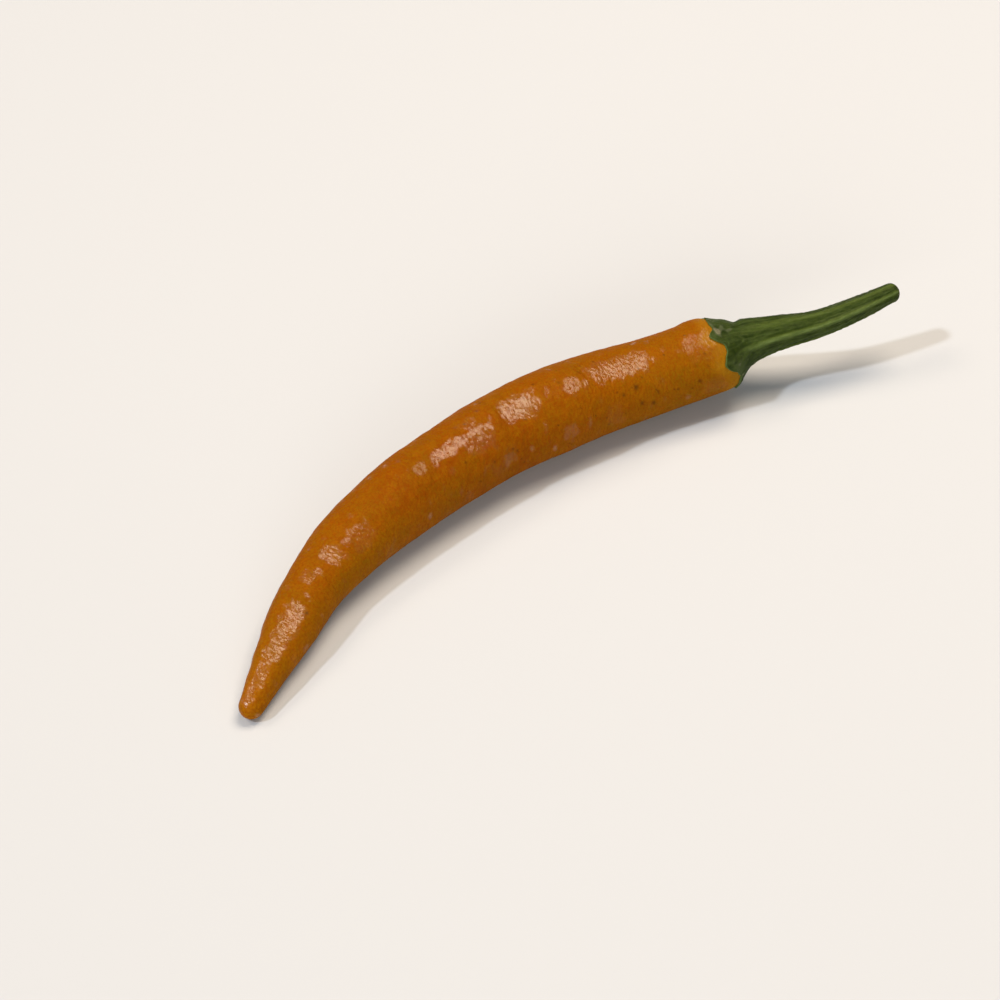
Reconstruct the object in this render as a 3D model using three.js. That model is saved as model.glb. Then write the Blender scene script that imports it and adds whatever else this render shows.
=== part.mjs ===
// A Thai chili as picked: the ripe pod, and the green calyx that has grown into the stem.
// Millimetres, +Z up. The chili lies on its belly on z = 0, with its tip towards -X.

import * as THREE from 'three';
import { LoftGeometry } from 'three/addons/geometries/LoftGeometry.js';

// ---- Driving dimensions -------------------------------------------------------------------

// The centre line from the tip of the pod to the cut end of the stem: plan x, plan y, height.
// While the belly lies on the surface, the height is the pod's radius there.
const CENTRE_LINE = [
  [0, 0, 1.25],
  [8.55, 4.85, 2.75],
  [17.3, 9.5, 3.6],
  [26.9, 12.1, 4.5],
  [36.8, 13.2, 4.9],
  [46.8, 13.5, 5.1],
  [56.7, 12.4, 5.3],
  [66.5, 10.4, 5.0],
  [75.9, 7.2, 5.8],
  [80.7, 5.7, 6.5],
  [84.9, 3.5, 7.3],
  [89.3, 1.2, 8.0],
  [94.0, -0.4, 8.7],
  [99.9, -1.9, 9.6],
];

// The pod's radius at every RADIUS_STEP along that line, tip first.
const POD_RADII = [1.25, 2.75, 3.6, 4.5, 4.9, 5.1, 5.3, 4.95, 4.75, 4.5];
const RADIUS_STEP = 10;

const BELLY_FLAT = 0.1;       // how far the soft belly is pressed flat where it rests
const TIP_ROUNDING = 1.3;     // length of the rounded tip
const SHOULDER_START = 80;    // where the pod begins to round over to the calyx
const SHOULDER_LENGTH = 3.3;  // from there to the very end of the pod
const SHOULDER_POWER = 3;     // 2 is a plain ellipse, more is a squarer shoulder
const SCAR_RADIUS = 2.4;      // the shallow crater where the stem was fed
const SCAR_DEPTH = 0.5;

const RING_LEAN = 0.2;        // the shoulder leans back, so the calyx reaches further on top
const LEAN_BUILDS = [68, 81]; // the lean grows between these distances
const LEAN_FADES = [84, 95];  // and is gone again between these

// Swellings over the rows of seeds: two waves along the pod, each of which runs askew round it.
const LUMP_HEIGHT = 0.13;
const LUMP_SPACING = 9.5;     // length of the first wave
const LUMP_SKEW = 1.3;        // how far the first wave shifts between the flanks, in radians
const SLOW_WAVE_SHARE = 0.6;  // height of the second wave, for each 1 of the first
const SLOW_WAVE_RATE = 0.63;  // waves of the second for each wave of the first
const SLOW_WAVE_TURNS = 2;    // how many times the second goes round the pod
const LUMPS_BUILD = [4, 14];  // the swellings grow between these distances
const LUMPS_FADE = [68, 78];  // and are gone again between these

const SEAT_GAP = 0.3;         // clearance between the pod and the calyx
const CALYX_THICKNESS = 0.35;
const CALYX_RIM = 82.3;       // where the calyx ends between its teeth
// The teeth of its edge: angle in degrees (90 is the top), length and half width in degrees.
// The second and the third have grown together.
const CALYX_TEETH = [
  [8, 0.9, 22],
  [76, 0.3, 18],
  [107, 1.25, 12],
  [156, 1.3, 17],
  [228, 0.9, 24],
  [300, 1.3, 26],
];

const FLARE_START = 82;       // from here the calyx narrows to the stem
const FLARE_HEIGHT = 2.4;     // how much wider than the stem it is there
const FLARE_LENGTH = 3.0;
const FLARE_POWER = 1.2;
const STEM_RADIUS = 2.1;     // at the calyx, between the ribs
const STEM_TAPER = 0.038;    // loss of radius for each millimetre
const STEM_RIBS = [20, 102, 160, 228, 300];  // angles of the ribs, which carry on from the teeth
const STEM_RIB_HALF_WIDTH = 16;              // in degrees
const STEM_RIB_HEIGHT = 0.22;
const STEM_END_ROUNDING = 1.0;

// On its far side the stem swells next to the calyx, behind a fold.
const FAR_SIDE = 52;          // angle of the middle of that side
const FAR_SIDE_HALF_WIDTH = 34;
const SWELL = { height: 0.42, at: 87.6, length: 4.6, power: 3 };
const FOLD = { depth: 0.4, at: 85.0, length: 0.55 };

// How finely the skins are divided.
const POD_SIDES = 28;
const POD_ROWS = { tip: 6, body: 46, shoulder: 10 };
const STEM_SIDES = 40;
const CALYX_ROWS = { underside: 10, back: 10, stem: 44, end: 5 };
const BACK_SHARE = 0.55;      // how much of the shoulder the back of the calyx follows
const STEM_ROW_SPREAD = 1.3;  // above 1, the stem's rows lie closer together at the calyx

// ---- The centre line ----------------------------------------------------------------------

const centreLine = new THREE.CatmullRomCurve3(
  CENTRE_LINE.map(([x, y, z]) => new THREE.Vector3(x, y, z - BELLY_FLAT)),
  false,
  'catmullrom',
);
centreLine.arcLengthDivisions = 2000;
const LENGTH = centreLine.getLength();

const radiusCurve = new THREE.CatmullRomCurve3(
  POD_RADII.map((radius, i) => new THREE.Vector3(i * RADIUS_STEP, radius, 0)),
  false,
  'catmullrom',
);

// The pod's radius at a distance from the tip, before its ends are rounded.
function bodyRadius(distance) {
  return radiusCurve.getPoint(distance / RADIUS_STEP / (POD_RADII.length - 1)).y;
}

// Three directions at a distance along the line: along it, level to its left, and upright.
function axesAt(distance) {
  const along = centreLine.getTangentAt(THREE.MathUtils.clamp(distance / LENGTH, 0, 1));
  const left = new THREE.Vector3(0, 0, 1).cross(along).normalize();
  const upright = new THREE.Vector3().crossVectors(along, left);
  return { along, left, upright };
}

// 0, then 1 after it has built up between two distances, then 0 again after it has faded.
function riseAndFall(distance, builds, fades) {
  const built = THREE.MathUtils.smoothstep(distance, ...builds);
  const faded = THREE.MathUtils.smoothstep(distance, ...fades);
  return built * (1 - faded);
}

// How far a ring leans back at a distance along the line.
function leanAt(distance) {
  return RING_LEAN * riseAndFall(distance, LEAN_BUILDS, LEAN_FADES);
}

// Carries a point of the straight chili (distance, radius, angle) to its place on the bent one.
// Angle 0 is to the left of the line, 90 degrees is up. Nothing goes below the surface.
function place({ distance, radius }, angle) {
  const { along, left, upright } = axesAt(distance);
  const up = radius * Math.sin(angle);
  const point = centreLine.getPointAt(THREE.MathUtils.clamp(distance / LENGTH, 0, 1));
  point.addScaledVector(left, radius * Math.cos(angle));
  point.addScaledVector(upright, up);
  point.addScaledVector(along, -leanAt(distance) * up);
  point.z = Math.max(point.z, 0);
  return point;
}

// A closed skin over rows of the straight chili. A row gives its distance and radius at an
// angle. The first and the last row have no radius, so they close the ends. The angles are set
// half a side round, so that a flat side and not an edge faces down.
function closedSkin(rows, sides) {
  const angles = Array.from({ length: sides }, (_, i) => (2 * Math.PI * (i + 0.5)) / sides);
  return new LoftGeometry(rows.map((row) => angles.map((angle) => place(row(angle), angle))));
}

// Evenly spaced fractions above 0, up to and including 1.
function fractions(count) {
  return Array.from({ length: count }, (_, i) => (i + 1) / count);
}

// ---- The pod ------------------------------------------------------------------------------

// Soft swellings on the flanks and the back, gone at the belly, the tip and the shoulder.
function lumpAt(distance, angle) {
  const turn = (2 * Math.PI * distance) / LUMP_SPACING;
  const firstWave = Math.sin(turn + LUMP_SKEW * Math.sin(angle));
  const slowWave = SLOW_WAVE_SHARE * Math.sin(SLOW_WAVE_RATE * turn - SLOW_WAVE_TURNS * angle);
  const clearOfBelly = (1 + Math.sin(angle)) / 2;
  const clearOfEnds = riseAndFall(distance, LUMPS_BUILD, LUMPS_FADE);
  return LUMP_HEIGHT * (firstWave + slowWave) * clearOfBelly * clearOfEnds;
}

// A point on the rounded shoulder: turn is 0 where it starts and a right angle at its middle.
function shoulderPoint(turn) {
  const bend = 2 / SHOULDER_POWER;
  const depth = Math.sin(turn) ** bend;
  const width = Math.max(Math.cos(turn), 0) ** bend;
  const distance = SHOULDER_START + SHOULDER_LENGTH * depth;
  return { distance, radius: bodyRadius(distance) * width, depth, width };
}

function podRows() {
  const tipRows = fractions(POD_ROWS.tip).map((part) => () => {
    const turn = (part * Math.PI) / 2;
    const distance = TIP_ROUNDING * (1 - Math.cos(turn));
    return { distance, radius: bodyRadius(distance) * Math.sin(turn) };
  });
  const bodyRows = fractions(POD_ROWS.body).map((part) => (angle) => {
    const distance = TIP_ROUNDING + part * (SHOULDER_START - TIP_ROUNDING);
    return { distance, radius: bodyRadius(distance) + lumpAt(distance, angle) };
  });
  const shoulderRows = fractions(POD_ROWS.shoulder).map((part) => () => {
    const { distance, radius } = shoulderPoint((part * Math.PI) / 2);
    const crater = SCAR_DEPTH * (1 - THREE.MathUtils.smoothstep(radius, 0, SCAR_RADIUS));
    return { distance: distance - crater, radius };
  });
  return [() => ({ distance: 0, radius: 0 }), ...tipRows, ...bodyRows, ...shoulderRows];
}

// ---- The calyx and its stem --------------------------------------------------------------

// A round swelling of height 1 at a place on the ring, given in degrees with its half width.
function swelling(angle, place, halfWidth) {
  const apart = THREE.MathUtils.radToDeg(angle) - place;
  const nearest = THREE.MathUtils.euclideanModulo(apart + 180, 360) - 180;
  return Math.exp(-((nearest / halfWidth) ** 2));
}

// How far from the tip the calyx ends at an angle: its rim, less the teeth that lie there.
function calyxEdge(angle) {
  return CALYX_TEETH.reduce(
    (edge, [place, length, halfWidth]) => edge - length * swelling(angle, place, halfWidth),
    CALYX_RIM,
  );
}

// A point at a height above the pod's shoulder, square to it.
function aboveShoulder(turn, height) {
  const { distance, radius, depth, width } = shoulderPoint(turn);
  const slope = new THREE.Vector2(
    depth ** (SHOULDER_POWER - 1) / SHOULDER_LENGTH,
    width ** (SHOULDER_POWER - 1) / bodyRadius(SHOULDER_START),
  ).normalize();
  return { distance: distance + height * slope.x, radius: radius + height * slope.y };
}

// The turn on the shoulder at which a distance along the line is reached.
function shoulderTurn(distance) {
  const depth = THREE.MathUtils.clamp((distance - SHOULDER_START) / SHOULDER_LENGTH, 0, 1);
  return Math.asin(depth ** (SHOULDER_POWER / 2));
}

// How much the far side of the stem stands out, or is drawn in where that is below zero.
function farSideRelief(distance, angle) {
  const swell = SWELL.height * Math.exp(-(Math.abs((distance - SWELL.at) / SWELL.length) ** SWELL.power));
  const fold = FOLD.depth * Math.exp(-(((distance - FOLD.at) / FOLD.length) ** 2));
  return (swell - fold) * swelling(angle, FAR_SIDE, FAR_SIDE_HALF_WIDTH);
}

// The radius of the stem and of the flare that joins it to the calyx.
function flareRadius(distance, angle) {
  const past = Math.max(distance - FLARE_START, 0);
  const plain = STEM_RADIUS - STEM_TAPER * past;
  const flare = FLARE_HEIGHT * Math.exp(-((past / FLARE_LENGTH) ** FLARE_POWER));
  const ribs = STEM_RIBS.map((place) => swelling(angle, place, STEM_RIB_HALF_WIDTH));
  const rib = STEM_RIB_HEIGHT * Math.max(...ribs);
  return plain + flare + rib + farSideRelief(distance, angle);
}

function calyxRows() {
  const undersideRows = fractions(CALYX_ROWS.underside).map((part) => (angle) => {
    const rimTurn = shoulderTurn(calyxEdge(angle));
    const turn = Math.PI / 2 + part * (rimTurn - Math.PI / 2);
    return aboveShoulder(turn, SEAT_GAP);
  });
  // The back of the calyx follows the shoulder until the flare stands higher than it.
  const backRows = [0, ...fractions(CALYX_ROWS.back)].map((part) => (angle) => {
    const rimTurn = shoulderTurn(calyxEdge(angle));
    const turn = rimTurn + BACK_SHARE * part * (Math.PI / 2 - rimTurn);
    const back = aboveShoulder(turn, SEAT_GAP + CALYX_THICKNESS);
    const flare = back.distance > FLARE_START ? flareRadius(back.distance, angle) : 0;
    return { distance: back.distance, radius: Math.max(back.radius, flare) };
  });
  const lastBack = backRows[backRows.length - 1];
  const stemRows = fractions(CALYX_ROWS.stem).map((part) => (angle) => {
    const start = lastBack(angle).distance;
    const distance = start + part ** STEM_ROW_SPREAD * (LENGTH - STEM_END_ROUNDING - start);
    return { distance, radius: flareRadius(distance, angle) };
  });
  const endRows = fractions(CALYX_ROWS.end).map((part) => (angle) => {
    const turn = (part * Math.PI) / 2;
    const distance = LENGTH - STEM_END_ROUNDING * (1 - Math.sin(turn));
    return { distance, radius: flareRadius(distance, angle) * Math.max(Math.cos(turn), 0) };
  });
  const middle = () => ({ ...aboveShoulder(Math.PI / 2, SEAT_GAP), radius: 0 });
  return [middle, ...undersideRows, ...backRows, ...stemRows, ...endRows];
}

// ---- The chili ----------------------------------------------------------------------------

const podSkin = new THREE.MeshStandardMaterial({ color: 0xc46a08, roughness: 0.28, metalness: 0 });
const greenSkin = new THREE.MeshStandardMaterial({ color: 0x4a6428, roughness: 0.6, metalness: 0 });

const pod = new THREE.Mesh(closedSkin(podRows(), POD_SIDES), podSkin);
pod.name = 'pod';

const calyxAndStem = new THREE.Mesh(closedSkin(calyxRows(), STEM_SIDES), greenSkin);
calyxAndStem.name = 'calyx_and_stem';

const chili = new THREE.Group();
chili.add(pod, calyxAndStem);

// The origin is under the middle of the chili's box, on the surface that it lies on.
const box = new THREE.Box3().setFromObject(chili);
const middle = box.getCenter(new THREE.Vector3());
chili.position.set(-middle.x, -middle.y, -box.min.z);

export default chili;
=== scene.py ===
# %% [markdown]
# # A Thai chili, as picked
#
# A chili is a hollow berry with a waxy skin, the pod, and one green piece: the calyx, whose teeth
# hold the pod's shoulder, and the stem that the calyx has grown into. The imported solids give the
# place and the size of both. This lesson grows a fine skin over each of them, from the same few
# measures, and then finishes the two skins: glossy, crinkled orange and matt, ribbed green.

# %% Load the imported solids
import math

import bpy
import numpy as np
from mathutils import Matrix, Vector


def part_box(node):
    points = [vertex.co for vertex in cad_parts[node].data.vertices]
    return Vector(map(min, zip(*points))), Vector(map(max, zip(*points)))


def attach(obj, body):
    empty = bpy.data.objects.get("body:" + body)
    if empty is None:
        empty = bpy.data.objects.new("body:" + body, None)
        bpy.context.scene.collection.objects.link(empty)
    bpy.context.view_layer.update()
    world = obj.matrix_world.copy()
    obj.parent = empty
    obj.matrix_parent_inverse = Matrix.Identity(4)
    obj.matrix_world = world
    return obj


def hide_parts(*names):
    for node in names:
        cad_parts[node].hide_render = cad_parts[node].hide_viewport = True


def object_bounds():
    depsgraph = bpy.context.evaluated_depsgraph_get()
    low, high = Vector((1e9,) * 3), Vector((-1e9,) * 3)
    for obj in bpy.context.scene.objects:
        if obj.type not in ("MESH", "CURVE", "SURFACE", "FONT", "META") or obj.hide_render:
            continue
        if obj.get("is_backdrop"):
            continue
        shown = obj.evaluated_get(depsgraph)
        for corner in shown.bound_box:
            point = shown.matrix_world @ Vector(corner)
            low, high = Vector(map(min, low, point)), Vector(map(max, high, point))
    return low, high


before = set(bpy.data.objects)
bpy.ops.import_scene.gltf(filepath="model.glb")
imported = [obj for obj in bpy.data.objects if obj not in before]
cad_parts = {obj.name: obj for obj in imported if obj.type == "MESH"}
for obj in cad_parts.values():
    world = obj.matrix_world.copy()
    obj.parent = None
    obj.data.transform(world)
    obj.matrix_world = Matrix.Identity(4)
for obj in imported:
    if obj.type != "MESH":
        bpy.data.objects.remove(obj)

cad_low, cad_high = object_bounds()
print("solids, in mm:", [round(1000 * side, 1) for side in cad_high - cad_low])

# %% [markdown]
# ## The measures of the chili
#
# Everything below is worked out from a few measures, in millimetres, with the tip of the pod at
# zero: a line down the middle from the tip to the cut end of the stem, the pod's radius along it,
# and the sizes of the calyx. They are the measures that the solids were made from, so the skins
# land on the solids once the scale and the place of the tip are known.

# %% Measures, in millimetres
# Plan x, plan y and height of the line down the middle, tip first.
CENTRE_LINE = np.array([
    [0, 0, 1.25],
    [8.55, 4.85, 2.75],
    [17.3, 9.5, 3.6],
    [26.9, 12.1, 4.5],
    [36.8, 13.2, 4.9],
    [46.8, 13.5, 5.1],
    [56.7, 12.4, 5.3],
    [66.5, 10.4, 5.0],
    [75.9, 7.2, 5.8],
    [80.7, 5.7, 6.5],
    [84.9, 3.5, 7.3],
    [89.3, 1.2, 8.0],
    [94.0, -0.4, 8.7],
    [99.9, -1.9, 9.6],
])

# The pod's radius at every RADIUS_STEP along that line.
POD_RADII = np.array([1.25, 2.75, 3.6, 4.5, 4.9, 5.1, 5.3, 4.95, 4.75, 4.5])
RADIUS_STEP = 10.0

BELLY_FLAT = 0.1        # how far the soft belly is pressed flat where it rests
TIP_ROUNDING = 1.3      # length of the rounded tip
SHOULDER_START = 80.0   # where the pod begins to round over to the calyx
SHOULDER_LENGTH = 3.3
SHOULDER_POWER = 3.0    # 2 is a plain ellipse, more is a squarer shoulder
SCAR_RADIUS = 2.4       # the shallow crater where the stem fed the pod
SCAR_DEPTH = 0.5
RING_LEAN = 0.2         # the shoulder leans back, so the calyx reaches further on top
LEAN_GROWS, LEAN_FADES = (68, 81), (84, 95)   # from where to where it comes and goes

# %% [markdown]
# ## A smooth row of values
#
# A grower's eye sees a chili swell and taper without a break. A few values, evenly spaced, are
# enough to say that, if a smooth curve joins them. A spline from Blender's curve tools could do it,
# but the same curve is needed for radii as well as for places, so it is one small function here.


# %% Smooth curves through a few values
def smooth_row(row, place):
    """The value at a place on a row of evenly spaced values, where 0 is the first of them.
    Between two values runs the cubic whose slope at each is half the difference of its two
    neighbours. Past the ends the row runs on straight."""
    row = np.asarray(row, float)
    longer = np.concatenate([[2 * row[0] - row[1]], row, [2 * row[-1] - row[-2]]])
    first = np.clip(np.floor(place).astype(int), 0, len(row) - 2)
    before, start, end, after = (longer[first + i] for i in range(4))
    part = place - first
    if row.ndim > 1:
        part = part[..., None]
    straight = (end - before) * part
    bow = (2 * before - 5 * start + 4 * end - after) * part**2
    turn = (3 * start - before - 3 * end + after) * part**3
    return start + 0.5 * (straight + bow + turn)


def fade(value, start, end):
    """0 before start and 1 after end. Between them, 3 t squared less 2 t cubed, where t is the
    part of the way that value has gone."""
    part = np.clip((value - start) / (end - start), 0, 1)
    return part * part * (3 - 2 * part)


def body_radius(distance):
    """The pod's radius at a distance from the tip, before its ends are rounded."""
    return smooth_row(POD_RADII, distance / RADIUS_STEP)


print("radius every 20 mm:", body_radius(np.arange(0, 81, 20.0)).round(2))

# %% [markdown]
# ## Bending a straight chili
#
# It is easiest to think of the chili as straight, as if it had been turned on a lathe: each point
# has a distance from the tip, a radius and an angle round the middle. Bending it comes last. An
# armature or a curve modifier could bend a mesh, but they leave the sums to Blender. Here each ring
# is set square to the middle line by hand, which keeps the rings round and lets the shoulder's
# rings lean back, as they do where the calyx sits askew.

# %% Walk along the middle line
TRACE_POINTS = 4001
knots = np.linspace(0, len(CENTRE_LINE) - 1, TRACE_POINTS)
trace = smooth_row(CENTRE_LINE - [0, 0, BELLY_FLAT], knots)
walked = np.concatenate([[0], np.cumsum(np.linalg.norm(np.diff(trace, axis=0), axis=1))])
CHILI_LENGTH = walked[-1]
HALF_STEP = 0.05   # mm, for measuring the direction of the line


def middle(distance):
    """The point on the middle line that lies a distance from the tip, measured along the line."""
    return np.stack([np.interp(distance, walked, trace[:, i]) for i in range(3)], axis=-1)


def bend(distance, radius, angle):
    """Takes points of the straight chili to the bent one: the point of the middle line, plus the
    radius times (cosine of the angle to the left, sine of it upward). The leaning rings also move
    back along the line by their height times the lean. Nothing goes below the surface."""
    inside = np.clip(distance, HALF_STEP, CHILI_LENGTH - HALF_STEP)
    along = middle(inside + HALF_STEP) - middle(inside - HALF_STEP)
    along /= np.linalg.norm(along, axis=-1, keepdims=True)
    left = np.cross([0, 0, 1], along)
    left /= np.linalg.norm(left, axis=-1, keepdims=True)
    upright = np.cross(along, left)
    lean = RING_LEAN * fade(distance, *LEAN_GROWS) * (1 - fade(distance, *LEAN_FADES))
    sideways = (radius * np.cos(angle))[..., None]
    height = (radius * np.sin(angle))[..., None]
    points = middle(distance) + sideways * left + height * (upright - lean[..., None] * along)
    points[..., 2] = np.maximum(points[..., 2], 0)
    return points


print("length along the middle:", round(CHILI_LENGTH, 1), "mm")

# %% [markdown]
# ## Rolling, random relief
#
# A pod is never true: seeds push it out, it dries a little, its skin crinkles. Noise textures with
# a Displace modifier could roughen a mesh, but waves that are added up by hand are smooth, are the
# same on each run and can be stretched along or round the pod. Many sine waves that run in random
# directions with about the same wavelength look like a natural, rolling surface.


# %% Random relief and round swellings
def rolling(points, wavelength, stretch, seed, waves=40):
    """A random rolling height, mostly between -1 and 1: the sum of sine waves with random
    directions and starts, divided by the square root of their number. Each wave is between 0.7
    and 1.4 wavelengths long, and stretch makes it longer along each axis."""
    draw = np.random.default_rng(seed)
    directions = draw.normal(size=(waves, points.shape[-1]))
    directions /= np.linalg.norm(directions, axis=1, keepdims=True)
    lengths = wavelength * draw.uniform(0.7, 1.4, (waves, 1))
    steps = 2 * np.pi * directions / lengths / np.asarray(stretch, float)
    starts = draw.uniform(0, 2 * np.pi, waves)
    total = np.zeros(points.shape[:-1])
    for step, start in zip(steps, starts):
        total += np.sin(points @ step + start)
    return total / math.sqrt(waves)


def degrees_from(angle, place):
    """How many degrees an angle lies past a place, at most half a turn either way."""
    return (np.degrees(angle) - place + 180) % 360 - 180


def swelling(angle, place, half_width):
    """A round bump of height 1 on a ring: e to the minus square of the angle from its place,
    counted in half widths. The place and the half width are in degrees."""
    return np.exp(-((degrees_from(angle, place) / half_width) ** 2))


def straight_point(distance, radius, angle):
    """Where a point lies on the straight chili: the distance, and the radius times the cosine
    and the sine of the angle. The relief and the materials are laid out on this."""
    return np.stack([distance, radius * np.cos(angle), radius * np.sin(angle)], axis=-1)


# %% [markdown]
# ## From a grid of points to a closed mesh
#
# Both skins are grids: rings of points from one end to the other. The first and the last ring have
# shrunk to a point, so each becomes one vertex with a fan of triangles, which closes the skin with
# no seam. Between them every four neighbours make a face, and each ring's last point joins its
# first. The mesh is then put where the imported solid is: the solid's box gives the scale and the
# place, so this works whatever origin the solids were packed with.


# %% Grid to mesh
def grid_faces(rings, sides):
    """The faces of a closed skin: a fan at each end, and quads between, all facing out."""
    side = np.arange(sides)
    after = (side + 1) % sides
    last = 1 + rings * sides
    start_fan = np.stack([np.zeros_like(side), 1 + after, 1 + side], axis=-1)
    far = 1 + (rings - 1) * sides
    end_fan = np.stack([np.full_like(side, last), far + side, far + after], axis=-1)
    base = 1 + sides * np.arange(rings - 1)[:, None]
    quads = np.stack([base + side, base + after, base + sides + after, base + sides + side], -1)
    return start_fan.tolist() + quads.reshape(-1, 4).tolist() + end_fan.tolist()


def flat_list(grid):
    """A grid's values as one list, with its first and its last ring as one value each."""
    return np.concatenate([grid[0, :1], grid[1:-1].reshape(-1, *grid.shape[2:]), grid[-1, :1]])


def skin_piece(name, points, scale, corner, attributes):
    """A smooth, closed mesh over a grid of points in millimetres. Each point is moved by the
    corner and then scaled to metres. Attributes are grids of numbers or of vectors."""
    mesh = bpy.data.meshes.new(name)
    rings, sides = points.shape[0] - 2, points.shape[1]
    places = flat_list(points) * scale + corner
    mesh.from_pydata(places.tolist(), [], grid_faces(rings, sides))
    mesh.polygons.foreach_set("use_smooth", np.ones(len(mesh.polygons), bool))
    for label, grid in attributes.items():
        values = flat_list(grid).astype(np.float32)
        if values.ndim > 1:
            mesh.attributes.new(label, "FLOAT_VECTOR", "POINT").data.foreach_set(
                "vector", values.ravel())
        else:
            mesh.attributes.new(label, "FLOAT", "POINT").data.foreach_set("value", values)
    mesh.update()
    piece = bpy.data.objects.new(name, mesh)
    bpy.context.scene.collection.objects.link(piece)
    triangles = sum(len(face.vertices) - 2 for face in mesh.polygons)
    print(name, "has", triangles, "triangles")
    return piece


# %% [markdown]
# ## The shape of the pod
#
# The pod's rows are an arc round the tip, an even walk along the body, and the shoulder, which is
# part of a squared ellipse and dips to the scar in its middle. The scar and most of the shoulder
# are hidden by the calyx, but a pod whose stem has come off shows them, so they are there.

# %% The rows of the pod
POD_SIDES = 156
TIP_RINGS, BODY_RINGS, SHOULDER_RINGS = 26, 536, 46


def shoulder_point(turn):
    """A point on the rounded shoulder, where turn is 0 at its start and a right angle at the
    middle of the pod's end. Depth and width are the sine and the cosine of the turn, each to the
    power of two over the shoulder's power."""
    depth = np.sin(turn) ** (2 / SHOULDER_POWER)
    width = np.maximum(np.cos(turn), 0) ** (2 / SHOULDER_POWER)
    distance = SHOULDER_START + SHOULDER_LENGTH * depth
    return distance, body_radius(distance) * width, depth, width


def pod_rows():
    """The distance and the radius of each ring of the pod, tip first."""
    tip_turn = np.linspace(0, np.pi / 2, TIP_RINGS)
    tip_distance = TIP_ROUNDING * (1 - np.cos(tip_turn))
    tip_radius = body_radius(tip_distance) * np.sin(tip_turn)
    body_distance = np.linspace(TIP_ROUNDING, SHOULDER_START, BODY_RINGS)[1:]
    shoulder_turn = np.pi / 4 * (1 - np.cos(np.linspace(0, np.pi, SHOULDER_RINGS)))[1:]
    shoulder_distance, shoulder_radius, _, _ = shoulder_point(shoulder_turn)
    crater = SCAR_DEPTH * (1 - fade(shoulder_radius, 0, SCAR_RADIUS))
    distance = np.concatenate([tip_distance, body_distance, shoulder_distance - crater])
    radius = np.concatenate([tip_radius, body_radius(body_distance), shoulder_radius])
    return distance, radius


# %% [markdown]
# ## The relief of the pod
#
# A pod's skin is drawn tight between its rows of seeds, so it is not quite round: it has flats and
# hollows, and each flat throws back a lamp as one bright patch. Smaller ripples cross the pod,
# because its skin shrinks more along than round, and crinkles of less than a millimetre break the
# patches up. Sculpting could do it once, but a list of flats can be corrected one by one. The
# relief dies out on the belly, which is pressed flat, and at the two ends.

# %% Flats, ripples and crinkles
# Each flat: distance in mm, angle in degrees, half length in mm, half width in degrees, and how
# much it shines.
FLATS = [
    (1.9, 76, 1.5, 24, 1.0),
    (5.6, 92, 3.2, 24, 1.0),
    (10.8, 101, 3.6, 30, 1.0),
    (18.0, 92, 1.2, 15, 0.9),
    (22.0, 108, 1.2, 23, 1.0),
    (26.0, 125, 1.8, 22, 0.75),
    (37.5, 107, 0.9, 9, 0.4),
    (42.0, 106, 2.3, 11, 0.9),
    (46.0, 118, 2.4, 19, 1.0),
    (46.2, 91, 1.1, 9, 0.7),
    (48.7, 166, 0.9, 9, 0.5),
    (53.0, 106, 2.6, 22, 1.0),
    (57.9, 169, 1.1, 10, 0.5),
    (60.2, 110, 1.0, 12, 0.6),
    (67.2, 105, 4.5, 20, 0.85),
    (79.4, 114, 2.3, 25, 0.38),
]
FLATNESS = 0.68   # how much of the pod's roundness is lost in the middle of a flat
# Each crease across the pod: distance in mm, angle and half width in degrees, depth in mm.
CREASES = [(14.9, 105, 45, 0.08), (15.7, 122, 30, 0.06), (20.0, 100, 35, 0.05),
           (24.1, 112, 40, 0.05), (28.6, 125, 35, 0.04), (49.4, 108, 38, 0.05),
           (57.6, 112, 30, 0.05), (62.3, 105, 30, 0.04), (73.5, 120, 35, 0.04),
           (76.3, 135, 40, 0.05), (35.2, 250, 60, 0.05), (55.0, 20, 50, 0.05)]
CREASE_HALF_WIDTH = 0.22
CREASE_WANDER = 0.5       # how far a crease strays to either side, in mm
SHOULDER_RISE = 0.32      # how much higher the pod's far shoulder stands
SHOULDER_RISE_AT, SHOULDER_RISE_LENGTH = 81.5, 3.0
CLEAR_OF_SCAR = (1.5, 3.5)   # the radii between which that rise comes up
FAR_SIDE, FAR_SIDE_HALF_WIDTH = 52, 34   # the middle and half width of that side, in degrees
BELLY_CALM = (-1.0, -0.2)   # the sines of the angles between which the relief comes up
TIP_CALM, SHOULDER_CALM = (0.2, 4), (79.3, 81.1)   # in mm, where it comes and goes along the pod
LUMP_HEIGHT, LUMP_LENGTH = 0.11, 11.0
RIPPLE_HEIGHT, RIPPLE_LENGTH = 0.028, 2.4
CRINKLE_HEIGHT, CRINKLE_LENGTH, CRINKLE_SHARPNESS = 0.014, 0.9, 0.35
WANDER_LENGTH = 3.0


def on_patch(distance, angle, at, turn, half_length, half_width, power):
    """1 in the middle of a patch of skin and 0 well outside it: e to the minus of two terms,
    which count how many half lengths, to the power of four, and how many half widths, to the
    given power, away its middle is."""
    along = np.abs((distance - at) / half_length) ** 4
    round_pod = np.abs(degrees_from(angle, turn) / half_width) ** power
    return np.exp(-along - round_pod)


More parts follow.
